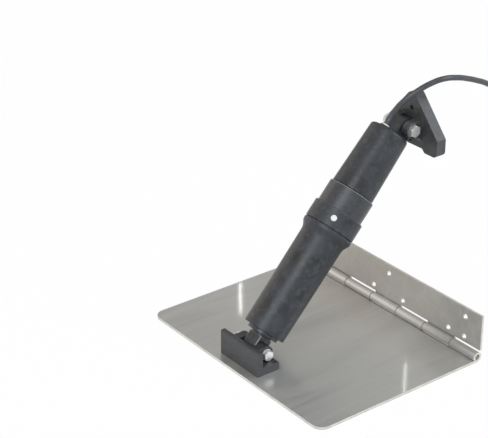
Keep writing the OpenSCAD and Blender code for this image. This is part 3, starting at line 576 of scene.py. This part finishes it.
@dataclass
class Studio:
    """Camera, light and floor."""

    eye: Point = (1.2135, -1.1466, 0.9148)
    right: Point = (0.608, 0.794, 0.0)
    forward: Point = (-0.7097, 0.5438, -0.4478)
    lens: float = 118.73
    sensor: float = 36.0
    near: float = 0.05
    sky: Colour = (0.94, 0.97, 1.0)
    ambient: float = 0.56
    floor_half: float = 4.0
    floor_drop: float = 0.0004
    floor_glow: float = 0.975
    # Painted shade on the floor: how far ambient occlusion reaches, its range and the darkest glow.
    painted_shade_reach: float = 0.004
    painted_shade_range: tuple[float, float] = (0.22, 0.48)
    painted_shade_low: float = 0.05
    card_glow: tuple[float, float] = (0.391, 0.529)
    card_half: tuple[float, float] = (1.6, 0.95)
    card_place: Point = (-1.45, 1.08, 0.95)
    card_aim: Point = (0.0, -0.1, 0.0)

    def camera(self) -> None:
        """Sets the camera where the photograph was taken."""
        data = bpy.data.cameras.new("photo_camera")
        camera = bpy.data.objects.new("photo_camera", data)
        bpy.context.scene.collection.objects.link(camera)
        right, forward = Vector(self.right).normalized(), Vector(self.forward).normalized()
        matrix = Matrix((right, right.cross(forward), -forward)).transposed().to_4x4()
        matrix.translation = Vector(self.eye)
        camera.matrix_world = matrix
        data.sensor_width = self.sensor
        data.lens = self.lens
        data.clip_start = self.near
        bpy.context.scene.camera = camera

    @staticmethod
    def seen_rays(tree: Tree) -> Socket:
        """Finds the rays that show the background.

        Args:
            tree: The node tree to work in.

        Returns:
            A socket that is 1 for camera, glossy and transmission rays.
        """
        path = tree.nodes.new("ShaderNodeLightPath")
        total = path.outputs["Is Camera Ray"]
        for name in ("Is Glossy Ray", "Is Transmission Ray"):
            node = tree.nodes.new("ShaderNodeMath")
            node.operation = "MAXIMUM"
            tree.links.new(total, node.inputs[0])
            tree.links.new(path.outputs[name], node.inputs[1])
            total = node.outputs[0]
        return total

    @staticmethod
    def mixed(tree: Tree, share: Socket, first: bpy.types.Node,
              second: bpy.types.Node) -> bpy.types.Node:
        """Mixes two shaders.

        Args:
            tree: The node tree to work in.
            share: Socket with the second shader's share.
            first: Shader node shown at 0.
            second: Shader node shown at 1.

        Returns:
            The mix node.
        """
        node = tree.nodes.new("ShaderNodeMixShader")
        tree.links.new(share, node.inputs["Fac"])
        tree.links.new(first.outputs[0], node.inputs[1])
        tree.links.new(second.outputs[0], node.inputs[2])
        return node

    def world(self) -> None:
        """Makes a white surround that lights the object a little less than it shows."""
        world = bpy.data.worlds.new("white_room")
        bpy.context.scene.world = world
        world.use_nodes = True
        tree = world.node_tree
        lit = tree.nodes["Background"]
        lit.inputs["Color"].default_value = (*self.sky, 1)
        lit.inputs["Strength"].default_value = self.ambient
        shown = tree.nodes.new("ShaderNodeBackground")
        shown.inputs["Color"].default_value = (1, 1, 1, 1)
        mix = self.mixed(tree, self.seen_rays(tree), lit, shown)
        tree.links.new(mix.outputs[0], tree.nodes["World Output"].inputs["Surface"])

    @staticmethod
    def lamps() -> None:
        """Hangs a front lamp, a warm one to port, a cool one to starboard and two strips that show in the sheet."""
        for name, place, aim, size, watts, colour in (
                ("front_soft", (0.9, -1.72, 1.42), (0, -0.05, 0.08), (1.1, 1.1), 19, (0.90, 0.95, 1.0)),
                ("warm_soft", (-1.9, -1.0, 0.8), (0, -0.1, 0.08), (1.4, 1.0), 4, (1.0, 0.72, 0.46)),
                ("cool_soft", (1.5, 1.25, 1.45), (0, -0.05, 0.15), (1.3, 1.3), 24, (0.84, 0.92, 1.0)),
                ("strip_aft", (-1.074, 0.596, 0.647), (-0.12, -0.131, -0.03), (0.005, 0.062), 0.05, (1.0, 0.99, 0.95)),
                ("strip_fore", (-0.729, 0.74, 0.722), (0.132, -0.096, -0.03), (0.003, 0.058), 0.03, (1.0, 0.99, 0.95))):
            data = bpy.data.lights.new(name, "AREA")
            data.shape = "RECTANGLE"
            data.size, data.size_y = size
            data.energy, data.color = watts, colour
            lamp = bpy.data.objects.new(name, data)
            lamp.location = place
            lamp.rotation_euler = (Vector(aim) - Vector(place)).to_track_quat("-Z", "Y").to_euler()
            bpy.context.scene.collection.objects.link(lamp)

    @staticmethod
    def board(name: str, half: tuple[float, float], place: Matrix, material: bpy.types.Material) -> bpy.types.Object:
        """Makes a flat board.

        Args:
            name: Its name.
            half: Half its width and height in metres.
            place: Where it lies.
            material: Its paint.

        Returns:
            The board.
        """
        bm = bmesh.new()
        bmesh.ops.create_grid(bm, x_segments=1, y_segments=1, size=1.0)
        bmesh.ops.scale(bm, vec=(*half, 1), verts=bm.verts)
        bmesh.ops.transform(bm, matrix=place, verts=bm.verts)
        mesh = bpy.data.meshes.new(name)
        bm.to_mesh(mesh)
        bm.free()
        mesh.materials.append(material)
        obj = bpy.data.objects.new(name, mesh)
        bpy.context.scene.collection.objects.link(obj)
        return obj

    def floor(self) -> None:
        """Lays a pale floor that shows almost white, keeps a soft shadow, takes painted shade where a part comes within
        a few millimetres, and doesn't hide a plate turned down.
        """
        bench = NodeBench("pale_floor")
        tree = bench.tree
        paint = bench.tint(bench.noise(3.0), (0.86, 0.86, 0.85), (0.9, 0.9, 0.89))
        matt = tree.nodes.new("ShaderNodeBsdfDiffuse")
        bench.link(paint, matt.inputs["Color"])
        glow = tree.nodes.new("ShaderNodeEmission")
        part = tree.nodes.new("ShaderNodeMath")
        part.operation = "MULTIPLY"
        part.inputs[1].default_value = self.floor_glow
        bench.link(self.seen_rays(tree), part.inputs[0])
        # Painted contact shade: the glow and the colour seen through the floor darken where ambient occlusion finds a
        # part close by.
        near = tree.nodes.new("ShaderNodeAmbientOcclusion")
        near.inputs["Distance"].default_value = self.painted_shade_reach
        painted_contact_shade = bench.spread(near.outputs["AO"], *self.painted_shade_range, self.painted_shade_low, 1.0)
        bench.link(painted_contact_shade, glow.inputs["Strength"])
        clear, seen = (tree.nodes.new("ShaderNodeBsdfTransparent") for _ in range(2))
        bench.link(painted_contact_shade, seen.inputs["Color"])
        path = tree.nodes.new("ShaderNodeLightPath")
        side = tree.nodes.new("ShaderNodeNewGeometry")
        shown = self.mixed(tree, path.outputs["Is Camera Ray"], glow, seen)
        above = self.mixed(tree, part.outputs[0], matt, shown)
        whole = self.mixed(tree, side.outputs["Backfacing"], above, clear)
        bench.link(whole.outputs[0], tree.nodes["Material Output"].inputs["Surface"])
        tree.nodes.remove(bench.shader)
        place = Matrix.Translation((0, 0, PLACE.floor_z * MM - self.floor_drop))
        obj = self.board("floor", (self.floor_half, self.floor_half), place, bench.material)

    def card(self) -> None:
        """Hangs a grey card behind the hinge, out of the picture, for the sheet to mirror."""
        bench = NodeBench("card_paper")
        glow = bench.tree.nodes.new("ShaderNodeEmission")
        glow.inputs["Color"].default_value = (1.0, 0.99, 0.975, 1)
        bench.link(bench.spread(bench.noise(1.4), 0.3, 0.7, *self.card_glow), glow.inputs["Strength"])
        bench.link(glow.outputs[0], bench.tree.nodes["Material Output"].inputs["Surface"])
        bench.tree.nodes.remove(bench.shader)
        place = Vector(self.card_place)
        turn = (Vector(self.card_aim) - place).to_track_quat("Z", "Y").to_matrix().to_4x4()
        obj = self.board("grey_card", self.card_half, Matrix.Translation(place) @ turn, bench.material)
        obj.visible_camera = obj.visible_shadow = False

    def build(self) -> None:
        """Sets up the whole studio."""
        bpy.context.scene.view_settings.view_transform = "Standard"
        self.world()
        self.lamps()
        self.floor()
        self.card()


@dataclass
class SupplyCable:
    """The lead from the cap, over the upper bracket and down to its stored coil, with ties and plug."""

    diameter: float = 6.5
    length: float = 1.8
    exit: Point = (0.0, -17.94550, 206.53195)
    straight: float = 6.0
    route: tuple[Point, ...] = (
        (3, -6.7, 222.9), (7.5, -1.5, 231.5), (15, 9, 242.4), (23, 27, 252.5), (27, 41, 255.3),
        (28.5, 60, 252.6), (27.5, 79, 246.5), (26, 95, 240), (24, 112, 232), (22, 128, 221.5), (21, 141, 207),
        (21, 150, 187), (21.5, 155.5, 160), (22, 158.5, 128), (22.5, 160.5, 92), (24, 161.5, 56), (26, 161.5, 25),
        (30, 161.5, -1), (35.5, 161.5, -15), (45, 161.5, -24.5), (60, 161.5, -28.2))
    coil_at: tuple[float, float] = (60.0, 204.0)
    coil_z: float = -31.5
    coil_r: float = 39.0
    coil_high: float = 19.5
    tuck: float = 3.0
    turn_in: float = 80.0
    last_turn: float = 150.0
    rise_over: float = 110.0
    rise_to: tuple[float, float] = (41.4, 24.4)
    lanes: tuple[tuple[float, float], ...] = (
        (42.25, 3.25), (35.75, 3.25), (35.75, 9.75), (42.25, 9.75), (42.25, 16.25), (35.75, 16.25))
    plug_size: Point = (16.0, 32.0, 11.0)
    plug_angle: float = 100.0
    tie_angles: tuple[float, float] = (20.0, 200.0)
    per_turn: int = 18

    def at_plug(self) -> Matrix:
        """Gives the plug's place, its Y along the turns and its underside on the coil.

        Returns:
            The matrix that sets it there.
        """
        coil = Matrix.Translation(Vector((*self.coil_at, self.coil_z + self.coil_high)) * MM)
        turn = Matrix.Rotation(math.radians(self.plug_angle), 4, "Z")
        return coil @ turn @ Matrix.Translation((self.coil_r * MM, 0, 0))

    def wound(self) -> list[Vector]:
        """Winds the stored length, from the outer lane below to the plug's back.

        Returns:
            Points in millimetres.
        """
        whole = 360.0 * (len(self.lanes) - 1) + self.last_turn
        count = round(whole / 360.0 * self.per_turn)
        points = []
        for k in range(1, count + 1):
            phi = whole * k / count
            lane = min(int(phi // 360), len(self.lanes) - 1)
            following = self.lanes[min(lane + 1, len(self.lanes) - 1)]
            share = max(0.0, (phi - 360 * lane - (360 - self.turn_in)) / self.turn_in)
            if lane == len(self.lanes) - 1:
                following = self.rise_to
                share = max(0.0, (phi - whole + self.rise_over) / self.rise_over)
            share = share * share * (3 - 2 * share)
            r, h = (a + (b - a) * share for a, b in zip(self.lanes[lane], following))
            angle = math.radians(phi - 90)
            points.append(Vector((self.coil_at[0] + r * math.cos(angle), self.coil_at[1] + r * math.sin(angle),
                                  self.coil_z + h)))
        back = self.at_plug() @ (Vector((0, -self.plug_size[1] / 2 + 4, self.plug_size[2] / 2)) * MM)
        return points + [back / MM]

    def lead(self) -> bpy.types.Object:
        """Draws the lead as one curve through its route and its turns.

        Returns:
            The curve's object.
        """
        out = Vector((0, math.cos(math.radians(PLACE.slope)), math.sin(math.radians(PLACE.slope))))
        start = Vector(self.exit)
        points = [start - self.tuck * out, start + self.straight * out] + [Vector(p) for p in self.route] + self.wound()
        curve = bpy.data.curves.new("supply_cable", "CURVE")
        curve.dimensions = "3D"
        curve.bevel_depth = self.diameter / 2 * MM
        curve.bevel_resolution = 6
        curve.resolution_u = 8
        curve.use_fill_caps = True
        spline = curve.splines.new("BEZIER")
        spline.bezier_points.add(len(points) - 1)
        for knot, point in zip(spline.bezier_points, points):
            knot.co = point * MM
            knot.handle_left_type = knot.handle_right_type = "AUTO"
        curve.materials.append(Palette.JACKET.material())
        obj = bpy.data.objects.new("supply_cable", curve)
        bpy.context.scene.collection.objects.link(obj)
        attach(obj, "housing")
        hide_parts("cable", "cable_coil")
        return obj

    def ties(self) -> bpy.types.Object:
        """Makes the two ties: a band round the turns, a ratchet head outside and a cut tail.

        Returns:
            Both ties as one object.
        """
        piece = Piece("coil_ties", "housing", "white_plastic", ("cable_ties",))
        shape = from_solid("cable_ties")
        soften(shape, sharp_edges(shape, 60), 0.3, 2)
        piece.add(shape)
        for angle in self.tie_angles:
            at = (Matrix.Translation(Vector((*self.coil_at, self.coil_z)) * MM)
                  @ Matrix.Rotation(math.radians(angle), 4, "Z"))
            outer = self.coil_r + self.diameter + 1.0
            piece.add(block((outer, -3.4, 6.2), (outer + 4.2, 3.4, 13.4), 0.7), at)
            piece.add(block((outer + 0.9, -1.9, 13.2), (outer + 2.2, 1.9, 19.6), 0.45), at)
        return piece.close(Palette.NYLON)

    def plug(self) -> bpy.types.Object:
        """Makes the two-way plug: a ribbed body, a latch on top and a sleeve where the lead goes in.

        Returns:
            The plug's object.
        """
        wide, long, high = self.plug_size
        piece = Piece("lead_plug", "housing", "satin_black_plastic", ("cable_plug",))
        shape = from_solid("cable_plug")
        soften(shape, sharp_edges(shape, 60), 0.7)
        piece.add(shape)
        at = self.at_plug()
        for k in range(5):
            y = -long / 2 + 4 + 2.6 * k
            for side in (-1, 1):
                x0, x1 = sorted((side * (wide / 2 - 0.3), side * (wide / 2 + 0.5)))
                piece.add(block((x0, y, 2), (x1, y + 1.3, high - 2), 0.25, 2), at)
        piece.add(block((-3.4, -4, high - 0.3), (3.4, 13, high + 1.4), 0.6), at)
        piece.add(block((-2.6, 10, high + 1.2), (2.6, 12.4, high + 2.4), 0.5), at)
        piece.add(lathe([Corner(3.3, 0), Corner(5.0, 0, 0.5), Corner(4.4, 6, 0.5), Corner(3.3, 6)], 40),
                  at @ Matrix.Translation(Vector((0, -long / 2, high / 2)) * MM) @ Matrix.Rotation(math.pi / 2, 4, "X"))
        return piece.close(Palette.BRACKET)

    def build(self) -> None:
        """Lays the lead with its ties and its plug."""
        lead = self.lead()
        ties, plug = self.ties(), self.plug()


@dataclass
class HingedSheets:
    """The tab plate, the transom flange and the pin that joins them."""

    break_edge: float = 0.3
    rim_edge: float = 0.6
    pin_r: float = 3.175
    pin_recess: float = 3.0
    skin: float = 0.05

    def ease(self, shape: Shape) -> None:
        """Breaks the edges of a sheet, more so at the ends of its knuckles.

        Args:
            shape: Plate or flange.
        """
        low, high = PLACE.barrel_r - 0.1, PLACE.barrel_r + self.skin
        rims = [e for e in sharp_edges(shape, 50, lambda m: low < PLACE.from_pin(m) < high)
                if abs(e.verts[0].co.x - e.verts[1].co.x) < MERGE]
        soften(shape, rims, self.rim_edge, 3)
        soften(shape, sharp_edges(shape, 50), self.break_edge, 2)

    def sheet(self, name: str, node: str, body: str, is_cut: Callable[[Vector, Vector], bool]) -> None:
        """Makes a sheet from its solid, with broken edges, burnished knuckles and cut faces whose bright colour is
        partly bare metal and partly a painted highlight.

        Args:
            name: The piece's name.
            node: Solid that it stands for.
            body: Body that it rides on.
            is_cut: Says by a face's normal and its middle, in millimetres, whether it is a cut face.
        """
        shape = from_solid(node)
        self.ease(shape)
        piece = Piece(name, body, "stainless_sheet", (node,)).add(shape)
        for face in piece.bm.faces:
            middle = face.calc_center_median() / MM
            # Cut faces take finish 1, a bright colour that is partly bare metal and partly a painted highlight.
            if is_cut(face.normal, middle):
                face.material_index = 1
            elif abs(face.normal.x) < 0.5 and PLACE.from_pin(middle) < PLACE.barrel_r + self.skin:
                face.material_index = 2
        piece.close(Palette.SHEET, Palette.CUT_EDGE_AND_HIGHLIGHT, Palette.BARREL)

    def pin(self) -> None:
        """Turns the hinge pin with rounded ends."""
        end = PLACE.half_span - self.pin_recess
        rod = lathe([Corner(0, -end), Corner(self.pin_r, -end, 0.7), Corner(self.pin_r, end, 0.7), Corner(0, end)], 48)
        piece = Piece("hinge_pin_rod", "transom_leaf", "stainless_fastener", ("hinge_pin",))
        piece.add(rod, PLACE.across((0, PLACE.pin_y, PLACE.pin_z))).close(Palette.FASTENER)

    def build(self) -> None:
        """Makes both sheets and their pin."""
        hinge_y, hinge_z = PLACE.pin_y - PLACE.barrel_r - 0.5, PLACE.pin_z + PLACE.barrel_r
        end = PLACE.half_span - 0.5
        self.sheet("tab_plate_sheet", "tab_plate", "tab", lambda normal, middle: abs(normal.z) < 0.4 and (
            middle.y < hinge_y or (abs(normal.x) > 0.95 and abs(middle.x) > end)))
        self.sheet("transom_flange_sheet", "transom_flange", "transom_leaf",
                   lambda normal, middle: abs(normal.y) < 0.4 and middle.z > hinge_z)
        self.pin()


@dataclass
class Moulding:
    """A moulded piece that follows its solid, with the rounds of its mould."""

    name: str
    node: str
    body: str
    slot: str
    finish: Finish
    soft: float
    angle: float = 40.0
    crest: float = 0.0
    wear_and_highlight: bool = True

    def build(self) -> None:
        """Makes the piece, its topmost edges first where they have a rounder crest."""
        shape = from_solid(self.node)
        if self.crest:
            top = max(v.co.z for v in shape.verts) / MM
            soften(shape, sharp_edges(shape, self.angle, lambda m: m.z > top - 0.2), self.crest, 5)
        # The rounds take finish 1, a lighter edge colour: partly wear, partly a painted highlight.
        soften(shape, sharp_edges(shape, self.angle), self.soft, part=1 if self.wear_and_highlight else None)
        piece = Piece(self.name, self.body, self.slot, (self.node,)).add(shape, part=None)
        piece.close(self.finish, *[Palette.WORN_AND_HIGHLIGHT] * self.wear_and_highlight)


@dataclass
class PivotBolt:
    """A hexagon bolt across a bracket, with its washers and its lock nut."""

    name: str
    body: str
    pivot: Point
    radius: float
    flats: float
    seat: float
    head: float
    nut: float
    washer_r: float
    washer: float = 1.2
    tail: float = 3.0
    head_side: int = 1
    pitch: float = 1.27

    def build(self) -> None:
        """Makes bolt, washers and nut, the head on the side that head_side gives."""
        side = self.head_side
        at = PLACE.across(self.pivot)
        slot = "stainless_fastener"
        bolt = Piece(f"{self.name}_bolt_hex", self.body, slot, (f"{self.name}_bolt",))
        bolt.add(hexagon(self.flats, side * self.seat, side * (self.seat + self.head)), at)
        far = -side * (self.seat + self.nut + self.tail)
        start = -side * (self.seat - 6)
        rows = threaded(self.radius, self.pitch, start, far + side * 0.9)
        shank = [Corner(0, side * (self.seat + 0.2)), Corner(self.radius, side * (self.seat + 0.2)),
                 Corner(self.radius, start + side * 0.5), *rows, Corner(self.radius - 0.7, far, 0.3), Corner(0, far)]
        bolt.add(lathe(shank, 40), at, 1)
        bolt.close(Palette.FASTENER, Palette.THREAD)

        rings = Piece(f"{self.name}_washer_pair", self.body, slot, (f"{self.name}_washers",))
        for s in (-1, 1):
            low, high = sorted((s * (self.seat - self.washer), s * self.seat))
            rings.add(lathe([Corner(self.radius + 0.1, low, 0.15), Corner(self.washer_r, low, 0.25),
                             Corner(self.washer_r, high, 0.25), Corner(self.radius + 0.1, high, 0.15)], 56), at)
        rings.close(Palette.FASTENER)

        nut = Piece(f"{self.name}_lock_nut", self.body, slot, (f"{self.name}_nut",))
        shape = from_solid(f"{self.name}_nut")
        soften(shape, sharp_edges(shape, 50), 0.35, 2)
        nut.add(shape)
        top = -side * (self.seat + self.nut)
        dome = self.flats / 2 - 0.3
        nut.add(lathe([Corner(self.radius + 0.25, top), Corner(dome, top), Corner(dome - 0.5, top - side * 1.3, 0.45),
                       Corner(self.radius + 0.25, top - side * 1.3, 0.2)], 48), at)
        nut.close(Palette.FASTENER)


@dataclass
class PlateScrews:
    """The four countersunk screws that hold the lower bracket, with a round socket in each head."""

    spots: tuple[tuple[float, float], ...] = ((-27.5, -219.275), (27.5, -219.275), (-27.5, -200.025), (27.5, -200.025))
    head_r: float = 4.75
    radius: float = 2.5
    length: float = 9.7

    def build(self) -> None:
        """Makes the screws, heads down in the plate."""
        piece = Piece("bracket_screw_set", "tab", "stainless_fastener", ("bracket_screws",))
        for x, y in self.spots:
            rows = threaded(self.radius, 0.9, 3.2, self.length - 0.6)
            body = lathe([Corner(0, 1.3), Corner(1.55, 1.3), Corner(1.55, 0.05), Corner(self.head_r - 0.1, 0.05, 0.1),
                          Corner(self.radius, 2.2), Corner(self.radius, 3.1), *rows,
                          Corner(self.radius - 0.6, self.length), Corner(0, self.length)], 40)
            piece.add(body, Matrix.Translation(Vector((x, y, PLACE.floor_z)) * MM))
        piece.close(Palette.FASTENER)


@dataclass
class Actuator:
    """The turned housings of the actuator, from the ram's eye to the cap."""

    tube_bore: float = 21.0
    socket_r: float = 25.4
    tube_floor: float = 146.25
    ram_top: float = 127.17
    groove: tuple[float, float] = (113.57, 115.17)
    cable_offset: float = -12.0

    def turned(self, name: str, node: str, body: str, slot: str, finish: Finish, corners: Sequence[Corner],
               steps: int = 128) -> bpy.types.Object:
        """Makes one turned piece on the actuator's axis.

        Args:
            name: The piece's name.
            node: Solid that it stands for.
            body: Body that it rides on.
            slot: Record's material slot; kept on the piece but not used.
            finish: Its finish.
            corners: Profile in the actuator's frame.
            steps: Faces round the axis.

        Returns:
            The object.
        """
        return Piece(name, body, slot, (node,)).add(lathe(corners, steps), PLACE.actuator()).close(finish)

    def lower_tube(self) -> None:
        """Turns the lower tube with its flare and bell."""
        self.turned("lower_tube_shell", "lower_tube", "housing", "black_plastic", Palette.TUBE, [
            Corner(self.tube_bore, 20, 0.3), Corner(25, 20, 1.0), Corner(26, 142.5, 3.0), Corner(30.2, 150, 1.6),
            Corner(30.2, 154.5, 0.6), Corner(self.socket_r, 154.5), Corner(self.socket_r, self.tube_floor),
            Corner(self.tube_bore, self.tube_floor)])

    def gland(self) -> None:
        """Turns the rod gland and the wiper that stands in it."""
        bore = 14.08
        self.turned("rod_gland_ring", "rod_gland", "housing", "satin_black_plastic", Palette.COLLAR, [
            Corner(17.08, 16, 0.3), Corner(18.5, 16, 0.6), Corner(18.5, 20), Corner(20.9, 20), Corner(20.9, 38),
            Corner(bore, 38), Corner(bore, 30.6), Corner(17.18, 30.6), Corner(17.18, 27.4), Corner(bore, 27.4),
            Corner(bore, 19.4), Corner(17.08, 19.4)])
        self.turned("rod_wiper_lip", "rod_wiper", "housing", "seal_rubber", Palette.RUBBER, [
            Corner(bore, 16.5, 0.1), Corner(16.98, 17.0, 0.2), Corner(16.98, 19.4), Corner(bore, 19.4)])

    def ram(self) -> None:
        """Turns the polished ram tube with the groove of its snap ring."""
        low, high = self.groove
        self.turned("ram_tube_polished", "ram_tube", "ram", "stainless_fastener", Palette.FASTENER, [
            Corner(10, 17, 0.2), Corner(14, 17, 0.5), Corner(14, low), Corner(13, low), Corner(13, high),
            Corner(14, high), Corner(14, self.ram_top), Corner(10, self.ram_top)])

    def ram_eye(self) -> None:
        """Makes the ram's eye with its neck and the plug that goes into the ram."""
        radius, neck, bore = 10.0, 14.5, 5.355
        turns = [math.radians(180 + 180 * k / 24) for k in range(25)]
        outline = [(radius * math.cos(a), radius * math.sin(a)) for a in turns]
        outline += [(radius, 7.0), (radius, neck), (3.5, neck), (-3.5, neck), (-radius, neck), (-radius, 7.0)]
        plug = lathe([Corner(0, neck - 1), Corner(12, neck - 1), Corner(12, 17, 0.3), Corner(9.9, 17),
                      Corner(9.9, 29, 0.6), Corner(0, 29)], 64)
        piece = Piece("ram_eye_end", "ram", "black_plastic", ("ram_end",))
        piece.add(eye_block(outline, bore, half_w=10.0, soft=1.3), PLACE.actuator(), None).add(plug, PLACE.actuator())
        # Finish 1 on the eye's rounds is the lighter edge colour: partly wear, partly a painted highlight.
        piece.close(Palette.TUBE, Palette.WORN_AND_HIGHLIGHT)

    def ring(self) -> None:
        """Makes the lock ring from its solid, which has the plug's hole, and the white plug in it."""
        Moulding("lock_ring_band", "lock_ring", "housing", "satin_black_plastic", Palette.TUBE, 0.45).build()
        Moulding("lock_plug_dot", "lock_plug", "housing", "white_plastic", Palette.NYLON, 0.5, 60, wear_and_highlight=False).build()

    def upper_parts(self) -> None:
        """Makes the collar and the motor housing with its eye, from their solids."""
        Moulding("coupling_collar_band", "coupling_collar", "housing", "satin_black_plastic", Palette.COLLAR,
                 0.5).build()
        Moulding("motor_housing_shell", "motor_housing", "housing", "black_plastic", Palette.TUBE, 0.8, 50,
                 wear_and_highlight=False).build()

    def cable_exit(self) -> None:
        """Turns the gland's flange and the bright ring where the cable leaves the cap."""
        at = PLACE.actuator() @ Matrix.Translation((0, self.cable_offset * MM, 0))
        gland = lathe([Corner(3.35, 279.8), Corner(5.05, 279.8), Corner(5.05, 283.8), Corner(6.25, 283.8),
                       Corner(6.25, 285.3, 0.5), Corner(3.35, 285.3)], 64)
        seat = Piece("cable_gland_seat", "housing", "satin_black_plastic", ("cable_gland",))
        seat.add(gland, at).close(Palette.BRACKET)
        ring = lathe([Corner(3.35, 285.3), Corner(5.05, 285.3), Corner(5.05, 286.9, 0.5), Corner(3.35, 286.9, 0.3)], 64)
        ferrule = Piece("cable_ferrule", "housing", "stainless_fastener", ("gland_ferrule",))
        ferrule.add(ring, at).close(Palette.FASTENER)

    def build(self) -> None:
        """Makes all housings."""
        for make in (self.lower_tube, self.gland, self.ram, self.ram_eye, self.ring, self.upper_parts, self.cable_exit):
            make()


@dataclass
class InnerDrive:
    """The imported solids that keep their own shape, and the finish of each."""

    finishes: tuple[tuple[Finish, tuple[str, ...]], ...] = (
        (Palette.BRONZE, ("ram_eye_bush", "upper_eye_bush", "drive_nut", "screw_bush", "thrust_washer", "plug_pins")),
        (Palette.FASTENER, ("ram_end_pin", "ram_snap_ring", "gearbox_screws", "gearbox_output_shaft")),
        (Palette.ALLOY, ("bearing_carrier", "gearbox_case", "screw_coupling")),
        (Palette.RUBBER, ("rod_o_ring", "spigot_o_ring")), (Palette.THREAD, ("lead_screw",)),
        (Palette.NYLON, ("ram_guide_ring",)), (Palette.MOTOR, ("motor_can",)),
        (Palette.BRACKET, ("motor_end_bell",)), (Palette.WIRE, ("motor_leads",)))

    def build(self) -> None:
        """Gives each solid its finish."""
        for finish, nodes in self.finishes:
            for node in nodes:
                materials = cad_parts[node].data.materials
                materials.clear()
                materials.append(finish.material())
                log.info("%s: %s", node, finish.name)


def main() -> None:
    """Builds the studio and every sub-assembly."""
    logging.basicConfig(level=logging.INFO, format="%(name)s %(message)s")
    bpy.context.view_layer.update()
    studio = Studio()
    studio.camera()
    SupplyCable().build()
    HingedSheets().build()
    Moulding("lower_bracket_block", "lower_bracket", "tab", "satin_black_plastic", Palette.BRACKET, 1.1,
             crest=1.8).build()
    PlateScrews().build()
    PivotBolt("lower_pivot", "tab", PLACE.low_pivot, radius=3.175, flats=11.1, seat=22.8, head=4.4, nut=5.6,
              washer_r=6.6).build()
    Actuator().build()
    Moulding("upper_bracket_block", "upper_bracket", "upper_mount", "satin_black_plastic", Palette.MOUNT, 1.2).build()
    PivotBolt("upper_pivot", "upper_mount", PLACE.up_pivot, radius=3.97, flats=12.7, seat=17.0, head=5.4, nut=8.4,
              washer_r=8.0, pitch=1.41).build()
    InnerDrive().build()
    studio.build()


if __name__ == "__main__":
    main()
